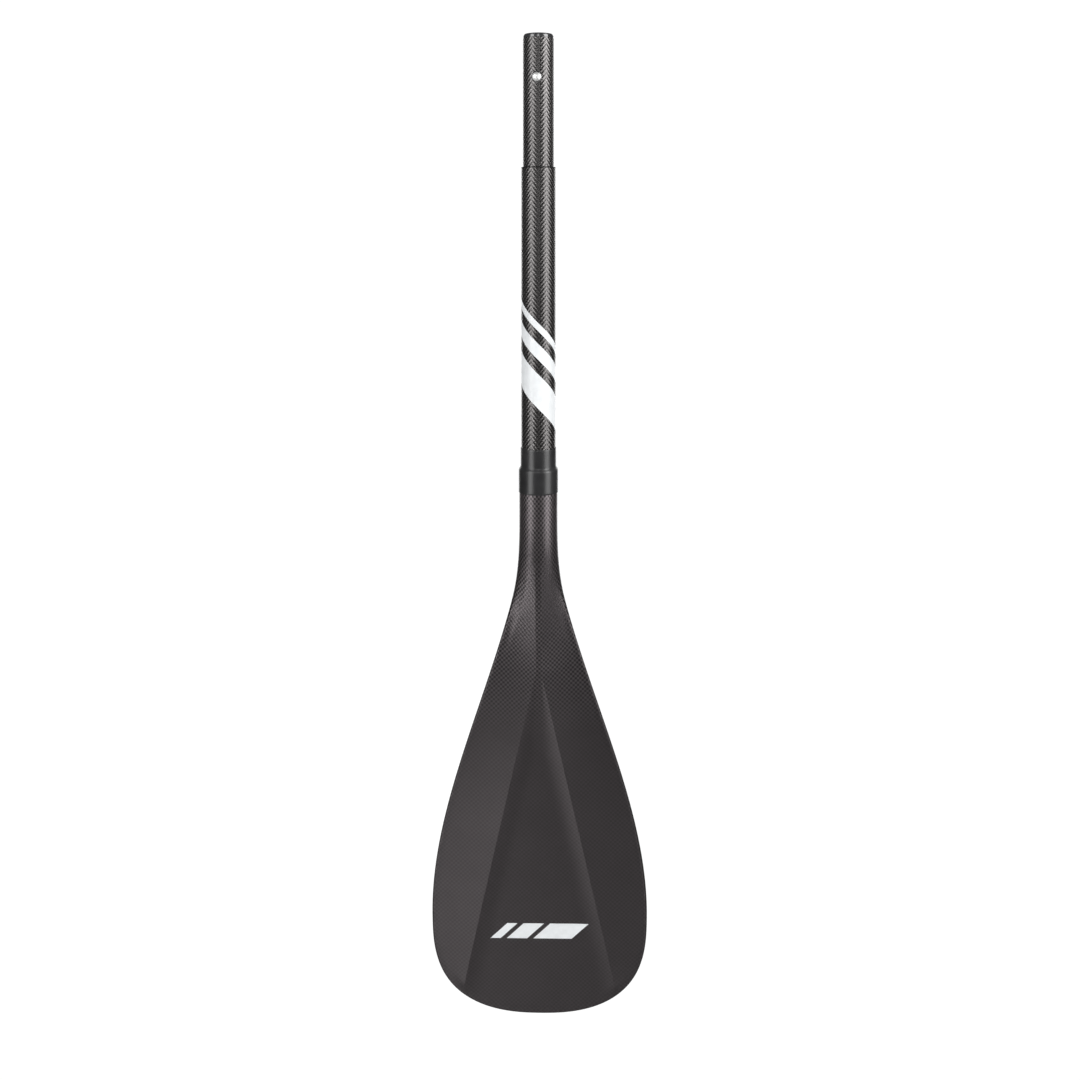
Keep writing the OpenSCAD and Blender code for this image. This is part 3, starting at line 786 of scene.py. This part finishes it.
def spigot():
    """The plug-in tube, with the button's hole cut through its front wall."""
    bore_r = SPIGOT_R - SPIGOT_WALL
    root_r = SPIGOT_R - BOND_RELIEF
    land_z = SHOULDER_Z + UNDERCUT
    profile = np.concatenate([
        [[root_r, SPIGOT_ROOT_Z], [root_r, land_z]],
        np.stack([np.full(30, SPIGOT_R), np.linspace(land_z, SPIGOT_WALL_TOP_Z, 30)], -1),
        [[bore_r, SPIGOT_WALL_TOP_Z], [bore_r, SPIGOT_ROOT_Z]]])
    mesh = lathe_mesh("spigot", profile, 192, SPIGOT_TOWS_ROUND, TOW)
    mesh.materials.append(TUBE_CARBON)
    obj = new_object("spigot", mesh, PADDLE, ["spigot_tube"])
    cutter = hole_cutter()
    cut = obj.modifiers.new("hole", "BOOLEAN")
    cut.operation = "DIFFERENCE"
    cut.solver = "EXACT"
    cut.material_mode = "TRANSFER"
    cut.object = cutter
    bpy.context.view_layer.update()
    evaluated = obj.evaluated_get(bpy.context.evaluated_depsgraph_get())
    final = bpy.data.meshes.new_from_object(evaluated)
    obj.modifiers.clear()
    obj.data = final
    bpy.data.objects.remove(cutter)
    mark_sharp(final, 30)
    return obj


def along_button(points):
    """Points drawn round +Z turned to the button's axis, at its height."""
    turn = BUTTON_AXIS.to_track_quat("Z", "X").to_matrix()
    m = np.array(turn)
    return np.asarray(points) @ m.T + np.array([0, 0, BUTTON_Z])


def hole_cutter():
    """A cone along the button's axis, so the hole opens slightly outwards."""
    steps = 96
    angles = np.arange(steps) / steps * 2 * math.pi
    ring = np.stack([np.cos(angles), np.sin(angles)], -1)
    # from inside the tube's bore to well outside its wall
    low = 6 * MM
    high = 20 * MM
    lows = np.column_stack([ring * (HOLE_R - HOLE_TAPER * (SPIGOT_R - low)), np.full(steps, low)])
    highs = np.column_stack([ring * (HOLE_R + HOLE_TAPER * (high - SPIGOT_R)), np.full(steps, high)])
    points = along_button(np.concatenate([lows, highs]))
    faces = [tuple(range(steps - 1, -1, -1)), tuple(range(steps, 2 * steps))]
    faces += [(i, (i + 1) % steps, steps + (i + 1) % steps, steps + i) for i in range(steps)]
    mesh = bpy.data.meshes.new("hole_cutter")
    mesh.from_pydata(points.tolist(), [], faces)
    # the hole's walls take the near-black material: painted shade in the ring round the button
    mesh.materials.append(BLACK_BAND_AND_HOLE_SHADE)
    obj = bpy.data.objects.new("hole_cutter", mesh)
    bpy.context.scene.collection.objects.link(obj)
    return obj


def end_cap():
    """The cap: a skirt inside the spigot, a rounded rim and a crown that dips slightly."""
    seat = SPIGOT_WALL_TOP_Z + CAP_SEAT_GAP
    skirt_low = node_box("spigot_end_cap")[0][2]
    skirt_r = SPIGOT_R - CAP_SKIRT_IN
    skirt_bore = skirt_r - CAP_SKIRT_WALL
    turn = np.linspace(0, math.pi / 2, 14)
    rim_r = SPIGOT_R - CAP_ROUND_IN + CAP_ROUND_IN * np.cos(turn)
    rim_z = SPIGOT_TOP_Z - CAP_ROUND_H + CAP_ROUND_H * np.sin(turn)
    profile = np.concatenate([
        [[0, seat], [skirt_bore, seat], [skirt_bore, skirt_low], [skirt_r, skirt_low], [skirt_r, seat],
         [SPIGOT_R - CAP_BREAK, seat], [SPIGOT_R, seat + CAP_BREAK]],
        np.stack([rim_r, rim_z], -1),
        [[SPIGOT_R * 0.5, SPIGOT_TOP_Z - CAP_HALF_DIP], [0, SPIGOT_TOP_Z - CAP_DIP]]])
    mesh = lathe_mesh("end_cap", profile, 128, 40, TOW)
    mark_sharp(mesh, 40)
    mesh.materials.append(CAP)
    return new_object("end_cap", mesh, PADDLE, ["spigot_end_cap"])


def collar():
    """The shrunk sleeve: tight on the shaft, stepped out over the neck's rim."""
    top, bottom = COLLAR_HIGH[2], COLLAR_LOW[2]
    large = COLLAR_HIGH[0]
    small = SHAFT_R + COLLAR_PLAY + COLLAR_WALL
    step_top = NECK_TOP_Z + COLLAR_STEP_ABOVE
    step_low = NECK_TOP_Z + COLLAR_STEP_BELOW
    z = np.concatenate([np.linspace(top - COLLAR_END_H, step_top, 14),
                        np.linspace(step_top, step_low, 17)[1:],
                        np.linspace(step_low, bottom + COLLAR_END_H, 16)[1:]])
    rise = (1 - np.cos(math.pi * np.clip((step_top - z) / (step_top - step_low), 0, 1))) / 2
    outer = small + (large - small) * rise
    profile = np.concatenate([
        [[small - COLLAR_WALL, top], [small - COLLAR_END_IN, top]],
        np.stack([outer, z], -1),
        [[large - COLLAR_END_IN, bottom], [large - COLLAR_WALL, bottom]],
        np.stack([outer - COLLAR_WALL, z], -1)[::-1]])
    mesh = lathe_mesh("collar", profile, 160, 60, TOW)
    mark_sharp(mesh, 50)
    mesh.materials.append(SLEEVE)
    return new_object("collar", mesh, PADDLE, ["collar_sleeve"])


def stripe(name, node):
    """Helical band on the shaft; its place and height come from the CAD node's box."""
    low, high = node_box(node)
    # at 45 degrees the band drops one radius for each radian round the shaft
    drop = SHAFT_R
    height = (high[2] - low[2]) - 2 * STRIPE_REACH * drop
    top_front = high[2] - STRIPE_REACH * drop
    a = np.linspace(-STRIPE_REACH, STRIPE_REACH, 220)[None, :]
    t = np.linspace(0, 1, max(3, round(height / STRIPE_STEP)))[:, None]
    z = top_front - drop * a - height * t
    inner_r = SHAFT_R + STRIPE_LIFT

    def sheet(r):
        return np.stack([r * np.sin(a) + 0 * z, -r * np.cos(a) + 0 * z, z], -1)

    uv = np.stack([a * SHAFT_R / TOW + 0 * z, z / TOW], -1)
    mesh = grid_mesh(name, (sheet(inner_r + STRIPE_THICK), sheet(inner_r)), (uv, uv))
    mark_sharp(mesh, 40)
    mesh.materials.append(WHITE)
    return new_object(name, mesh, PADDLE, [node])


# ---- lock button and spring ----

def spring_leg_out():
    """How far from the axis the outer face of a spring leg lies, against the bore."""
    return math.sqrt((SPIGOT_R - SPIGOT_WALL - SPRING_PLAY) ** 2 - (SPRING_W / 2) ** 2)


def lock_button():
    """The button: a rivet head inside the spring, a stem through it and a domed head outside."""
    out = SPIGOT_R + BUTTON_PROUD
    head_from = SPIGOT_R + BUTTON_UNDER
    leg_out = spring_leg_out()
    in_face = leg_out - SPRING_T
    rivet_low = in_face - RIVET_HEAD_H
    stem_r = BUTTON_R - STEM_IN
    dome_r = (BUTTON_R**2 + BUTTON_DOME**2) / (2 * BUTTON_DOME)
    dome_a = math.degrees(math.asin(BUTTON_R / dome_r))
    profile = np.concatenate([
        [[0, rivet_low], [RIVET_HEAD_R - RIVET_BREAK_IN, rivet_low],
         [RIVET_HEAD_R, rivet_low + RIVET_BREAK_H], [RIVET_HEAD_R, in_face - PART_GAP],
         [RIVET_R, in_face - PART_GAP], [RIVET_R, leg_out + PART_GAP], [stem_r, leg_out + PART_GAP],
         [stem_r, head_from], [BUTTON_R, head_from], [BUTTON_R, head_from + BUTTON_STRAIGHT]],
        arc_points(0, out - dome_r, dome_r, 90 - dome_a, 90, 20)])
    # the last point of the dome is its pole
    profile[-1][0] = 0
    mesh = lathe_mesh("lock_button_pin", profile, 96, 10, 1 * MM)
    co = np.array([v.co for v in mesh.vertices])
    mesh.vertices.foreach_set("co", along_button(co).astype(np.float32).ravel())
    mark_sharp(mesh, 45)
    mesh.materials.append(STEEL)
    return new_object("lock_button_pin", mesh, BUTTON, ["lock_button"])


def v_spring():
    """Bent spring strip: one leg under the button, one against the far wall, a round bend between."""
    leg = spring_leg_out() - SPRING_T / 2
    mid_r = SPRING_BEND_R + SPRING_T / 2
    foot_z = BUTTON_Z - SPRING_FLAT / 2
    top_z = BUTTON_Z + SPRING_FLAT / 2
    lean_len = (leg - mid_r * math.cos(SPRING_LEAN)) / math.sin(SPRING_LEAN)
    bend_z = foot_z - lean_len * math.cos(SPRING_LEAN) + mid_r * math.sin(SPRING_LEAN)
    # the foot's corner is a short arc from upright to leaning
    setback = SPRING_FOOT_R * math.tan(SPRING_LEAN / 2)
    arc = np.linspace(0, SPRING_LEAN, 7)
    foot = np.stack([-leg + SPRING_FOOT_R - SPRING_FOOT_R * np.cos(arc),
                     foot_z + setback - SPRING_FOOT_R * np.sin(arc)], -1)
    turn = np.linspace(math.pi + SPRING_LEAN, 1.5 * math.pi, 14)
    bend = np.stack([mid_r * np.cos(turn), bend_z + mid_r * np.sin(turn)], -1)
    flat_part = np.stack([np.full(12, -leg), np.linspace(top_z, foot_z + setback, 12)], -1)[:-1]
    slope = foot[-1] + (bend[0] - foot[-1]) * np.linspace(0, 1, 16)[1:-1, None]
    half = np.concatenate([flat_part, foot, slope, bend])
    path = np.concatenate([half, half[-2::-1] * [-1, 1]])
    ahead = np.gradient(path, axis=0)
    normal = np.stack([-ahead[:, 1], ahead[:, 0]], -1)
    normal /= np.linalg.norm(normal, axis=1)[:, None]
    # the strip's ends are rounded in plan
    travel = np.concatenate([[0], np.cumsum(np.linalg.norm(np.diff(path, axis=0), axis=1))])
    to_end = np.minimum(travel, travel[-1] - travel)
    past_round = np.maximum(0, SPRING_CORNER_R - to_end)
    inset = SPRING_CORNER_R - np.sqrt(np.maximum(0, SPRING_CORNER_R**2 - past_round**2))
    across = np.linspace(-1, 1, 9)[None, :] * (SPRING_W / 2 - inset)[:, None]
    turn_z = math.atan2(BUTTON_AXIS[0], -BUTTON_AXIS[1])

    def sheet(side):
        mid = path + side * SPRING_T / 2 * normal
        flat_points = np.stack([across, np.broadcast_to(mid[:, :1], across.shape),
                                np.broadcast_to(mid[:, 1:], across.shape)], -1)
        x = flat_points[..., 0] * math.cos(turn_z) - flat_points[..., 1] * math.sin(turn_z)
        y = flat_points[..., 0] * math.sin(turn_z) + flat_points[..., 1] * math.cos(turn_z)
        return np.stack([x, y, flat_points[..., 2]], -1)

    uv = np.stack([across / TOW, np.broadcast_to(travel[:, None] / TOW, across.shape)], -1)
    mesh = grid_mesh("spring_strip", (sheet(1), sheet(-1)), (uv, uv))
    mark_sharp(mesh, 40)
    mesh.materials.append(SPRING)
    obj = bpy.data.objects.new("spring_strip", mesh)
    bpy.context.scene.collection.objects.link(obj)
    mesh.polygons.foreach_set("use_smooth", [True] * len(mesh.polygons))
    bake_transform(obj)
    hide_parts("v_spring")


# ---- build ----

blade_skin("blade_front", 1, "blade_front_skin")
blade_skin("blade_back", -1, "blade_back_skin")
blade_bars()
main_shaft()
spigot()
end_cap()
collar()
for name in ("stripe_narrow", "stripe_middle", "stripe_wide"):
    stripe(name + "_film", name)
lock_button()
v_spring()

for node, material in (("blade_foam_core", FOAM), ("shaft_water_plug", FOAM), ("spigot_bond", RESIN),
                       ("neck_bond", RESIN)):
    mesh = frame["nodes"][node].data
    mesh.materials.clear()
    mesh.materials.append(material)


# ---- stage ----

CAMERA_DISTANCE = 1.0056
CAMERA_Z = -0.053
CAMERA_TURN = math.radians(1.1)
SENSOR = 36
LENS = 119 / 3
# the frame's shift from the camera's axis, as shares of its width
SHIFT_X = 0.001481
SHIFT_Y = -0.287037


def photo_camera():
    data = bpy.data.cameras.new("photo_camera")
    data.sensor_width = SENSOR
    data.lens = LENS
    cam = bpy.data.objects.new("photo_camera", data)
    bpy.context.scene.collection.objects.link(cam)
    cam.rotation_mode = "XYZ"
    cam.location = (CAMERA_DISTANCE * math.sin(CAMERA_TURN),
                    -CAMERA_DISTANCE * math.cos(CAMERA_TURN), CAMERA_Z)
    cam.rotation_euler = (math.pi / 2, 0, CAMERA_TURN)
    bpy.context.scene.camera = cam
    # The frame is shifted down from the camera's level. Other views turn the camera by quaternion,
    # and there the shift is off, so the object stays centred.
    for prop, value in (("shift_y", SHIFT_Y), ("shift_x", SHIFT_X)):
        curve = data.driver_add(prop)
        curve.driver.type = "SCRIPTED"
        variable = curve.driver.variables.new()
        variable.name = "mode"
        variable.type = "SINGLE_PROP"
        variable.targets[0].id = cam
        variable.targets[0].data_path = "rotation_mode"
        curve.driver.expression = "%.6f * (mode > 0)" % value


def round_shaft(azimuth, distance, z):
    """A point round the shaft axis; azimuth is in degrees from -Y towards +X."""
    a = math.radians(azimuth)
    return Vector((distance * math.sin(a), -distance * math.cos(a), z))


def softbox(name, at, target, width, height, power):
    """Rectangular soft light at a point, facing the target, unseen by the camera."""
    data = bpy.data.lights.new(name, "AREA")
    data.shape = "RECTANGLE"
    data.size, data.size_y = width, height
    data.energy = power
    light = bpy.data.objects.new(name, data)
    bpy.context.scene.collection.objects.link(light)
    light.location = at
    light.rotation_mode = "QUATERNION"
    light.rotation_quaternion = (target - at).to_track_quat("-Z", "Y")
    light.visible_camera = False


# strengths of the room's light, and powers of the softboxes in watts
ROOM_LOW = 0.0
ROOM_HIGH = 0.12
KEY_RIGHT = 29
SIDE_RIGHT = 12
KEY_LEFT = 16
SIDE_LEFT = 10
LOW_FRONT = 1.9
LOW_SIDE = 3.6
LOW_RIGHT = 1.2
LOW_TIP = 0.3
FRONT_TOP = 3
BACK = 13


def world_light():
    world = bpy.data.worlds.new("studio")
    world.use_nodes = True
    bpy.context.scene.world = world
    n = Nodes(world.node_tree)
    n.tree.nodes.clear()
    seen = n.add("ShaderNodeBackground")
    seen.inputs["Color"].default_value = (1, 1, 1, 1)
    seen.inputs["Strength"].default_value = 1.05
    room = n.add("ShaderNodeBackground")
    room.inputs["Color"].default_value = (1, 1, 1, 1)
    # the room is dark below and brighter from eye level up
    where = n.add("ShaderNodeNewGeometry").outputs["Incoming"]
    split = n.add("ShaderNodeSeparateXYZ")
    n.link(where, split.inputs[0])
    n.link(n.remap(split.outputs[2], 0.45, 0.1, ROOM_LOW, ROOM_HIGH), room.inputs["Strength"])
    path = n.add("ShaderNodeLightPath")
    mix = n.add("ShaderNodeMixShader")
    n.link(path.outputs["Is Camera Ray"], mix.inputs[0])
    n.link(room.outputs[0], mix.inputs[1])
    n.link(seen.outputs[0], mix.inputs[2])
    out = n.add("ShaderNodeOutputWorld")
    n.link(mix.outputs[0], out.inputs[0])


def floor():
    """Pale floor well below the tip. The camera sees it lit evenly, as in a white studio."""
    material, n, shader = start_material("pale_floor")
    where = n.add("ShaderNodeTexCoord").outputs["Object"]
    cloud = n.noise(where, 3.0, 4.0)
    n.link(n.mix(cloud, (0.38, 0.38, 0.38, 1), (0.42, 0.42, 0.42, 1)), shader.inputs["Base Color"])
    shader.inputs["Roughness"].default_value = 0.9
    shader.inputs["Specular IOR Level"].default_value = 0.1
    glow = n.add("ShaderNodeEmission")
    n.link(n.mix(cloud, (0.995, 0.995, 0.995, 1), (1, 1, 1, 1)), glow.inputs["Color"])
    glow.inputs["Strength"].default_value = 1.05
    path = n.add("ShaderNodeLightPath")
    mix = n.add("ShaderNodeMixShader")
    n.link(path.outputs["Is Camera Ray"], mix.inputs[0])
    n.link(shader.outputs[0], mix.inputs[1])
    n.link(glow.outputs[0], mix.inputs[2])
    n.link(mix.outputs[0], n.tree.nodes["Material Output"].inputs[0])
    mesh = bpy.data.meshes.new("floor")
    half = 40
    z = CAD_LOW.z - 1.60
    mesh.from_pydata([(-half, -half, z), (half, -half, z), (half, half, z), (-half, half, z)], [],
                     [(0, 1, 2, 3)])
    mesh.materials.append(material)
    obj = bpy.data.objects.new("floor", mesh)
    bpy.context.scene.collection.objects.link(obj)


photo_camera()
shaft_middle = Vector((0, 0, -0.05))
blade_middle = Vector((0, 0.03, -0.62))
softbox("key_right", round_shaft(59, 1.8, 0.7), round_shaft(0, 0, 0.7), 1.0, 1.4, KEY_RIGHT)
softbox("side_right", round_shaft(59, 1.8, -0.5), round_shaft(0, 0, -0.5), 1.0, 1.0, SIDE_RIGHT)
softbox("key_left", round_shaft(-46, 1.8, 0.7), round_shaft(0, 0, 0.7), 0.8, 1.4, KEY_LEFT)
softbox("side_left", round_shaft(-46, 1.8, -0.5), round_shaft(0, 0, -0.5), 0.8, 1.0, SIDE_LEFT)
softbox("front_top", round_shaft(0, 1.6, 0.6), shaft_middle, 0.4, 0.6, FRONT_TOP)
softbox("low_front", Vector((-0.56, -1.27, -2.04)), blade_middle, 0.5, 0.5, LOW_FRONT)
softbox("low_side", Vector((-1.56, -0.81, -1.54)), blade_middle, 0.5, 0.5, LOW_SIDE)
softbox("low_right", Vector((0.80, -1.21, -1.97)), blade_middle, 0.5, 0.5, LOW_RIGHT)
softbox("low_tip", Vector((0.0, -0.95, -2.35)), blade_middle, 0.5, 0.5, LOW_TIP)
for side, azimuth in (("right", 158), ("left", -158)):
    softbox("back_" + side, round_shaft(azimuth, 2.4, 0.1), round_shaft(0, 0, -0.2), 0.9, 2.2, BACK)
world_light()
floor()
bpy.context.scene.view_settings.view_transform = "Standard"
